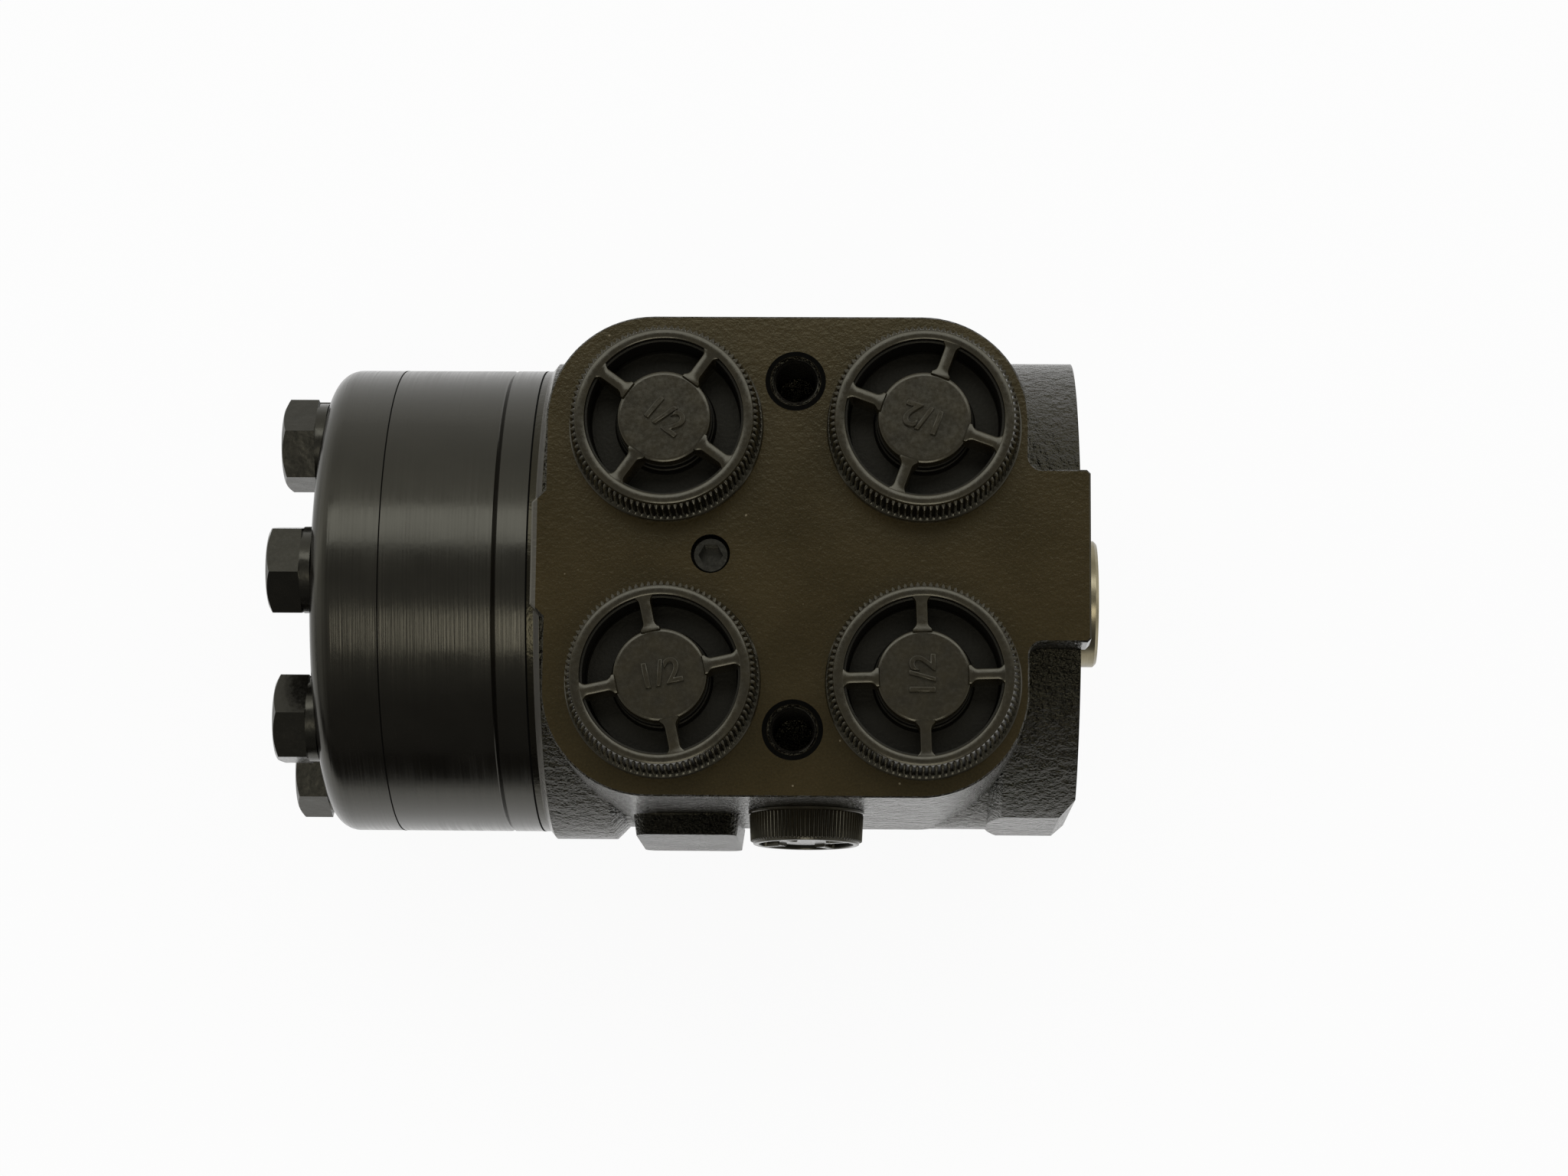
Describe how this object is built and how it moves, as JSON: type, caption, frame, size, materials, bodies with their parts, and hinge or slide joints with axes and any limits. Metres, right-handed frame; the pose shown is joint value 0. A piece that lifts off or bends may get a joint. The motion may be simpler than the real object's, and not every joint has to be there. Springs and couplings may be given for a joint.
{
  "type": "orbital steering unit",
  "caption": "Hydrostatic steering unit: rotary spool valve and orbiting gear set in a cast block, with capped ports on one face and a splined column end.",
  "frame": {"origin": "centre of the column mounting face, on the shaft axis", "axes": "+X along the shaft out of the mounting face towards the steering column, +Z the way the ports face, +Y across the port face"},
  "size_m": [0.1592, 0.0993, 0.1113],
  "materials": {
    "black_paint": "gloss black machine enamel",
    "machined_black": "satin black enamel over milled face",
    "ground_steel": "ground and lapped steel",
    "turned_steel": "turned steel, oiled",
    "spring_steel": "blued spring steel",
    "bolt_paint": "painted hexagon bolt",
    "cap_plastic": "moulded black polyethylene",
    "nitrile": "moulded nitrile rubber",
    "bearing_steel": "hardened bearing steel"
  },
  "bodies": {
    "housing_body": {"housing": "black_paint", "distributor_plate": "black_paint", "gear_ring": "black_paint", "end_cover": "black_paint", "cover_bolts": "bolt_paint", "pin_bolt": "bolt_paint", "bolt_washers": "bolt_paint", "housing_seal": "nitrile", "distributor_seal": "nitrile", "cover_seal": "nitrile", "shaft_seal": "nitrile", "dust_seal": "nitrile", "bearing_race_fixed": "bearing_steel", "check_plug": "turned_steel", "check_seat": "turned_steel", "port_cap_l": "cap_plastic", "port_cap_r": "cap_plastic", "port_cap_t": "cap_plastic", "port_cap_p": "cap_plastic", "side_port_cap": "cap_plastic"},
    "sleeve": {"control_sleeve": "ground_steel", "cross_pin": "bearing_steel", "spring_ring": "turned_steel", "flat_springs": "spring_steel", "arched_springs": "spring_steel", "bearing_race_turning": "bearing_steel"},
    "spool": {"control_spool": "ground_steel"},
    "orbit": {"spacer_disc": "turned_steel"},
    "rotor": {"gear_rotor": "ground_steel"},
    "cardan": {"cardan_shaft": "turned_steel"},
    "bearing_cage": {"needle_cage": "turned_steel", "needles": "bearing_steel"},
    "check_ball_body": {"check_ball": "bearing_steel"}
  },
  "joints": [
    {"name": "steering_turn", "type": "hinge", "parent": "housing_body", "child": "sleeve", "pos_m": [-0.05, 0, 0], "axis": [1, 0, 0], "continuous": true},
    {"name": "valve_twist", "type": "hinge", "parent": "sleeve", "child": "spool", "pos_m": [-0.05, 0, 0], "axis": [1, 0, 0], "range_deg": [-10, 10], "stiffness_Nm_per_rad": 6, "deforming": ["flat_springs", "arched_springs"]},
    {"name": "rotor_orbit", "type": "hinge", "parent": "housing_body", "child": "orbit", "pos_m": [-0.1211, 0, 0], "axis": [1, 0, 0], "continuous": true},
    {"name": "rotor_spin", "type": "hinge", "parent": "orbit", "child": "rotor", "pos_m": [-0.1211, 0, -0.0037], "axis": [1, 0, 0], "continuous": true},
    {"name": "cardan_spin", "type": "hinge", "parent": "orbit", "child": "cardan", "pos_m": [-0.038, 0, 0], "axis": [0.999, 0, 0.0445], "continuous": true},
    {"name": "bearing_roll", "type": "hinge", "parent": "housing_body", "child": "bearing_cage", "pos_m": [-0.01, 0, 0], "axis": [1, 0, 0], "continuous": true},
    {"name": "check_ball_lift", "type": "slide", "parent": "housing_body", "child": "check_ball_body", "axis": [0, 0, 1], "range_m": [0, 0.0015]}
  ],
  "couplings": [
    {"joint": "rotor_orbit", "follows": "steering_turn", "ratio": -6},
    {"joint": "rotor_spin", "follows": "steering_turn", "ratio": 7},
    {"joint": "cardan_spin", "follows": "steering_turn", "ratio": 7},
    {"joint": "bearing_roll", "follows": "steering_turn", "ratio": 0.5}
  ]
}
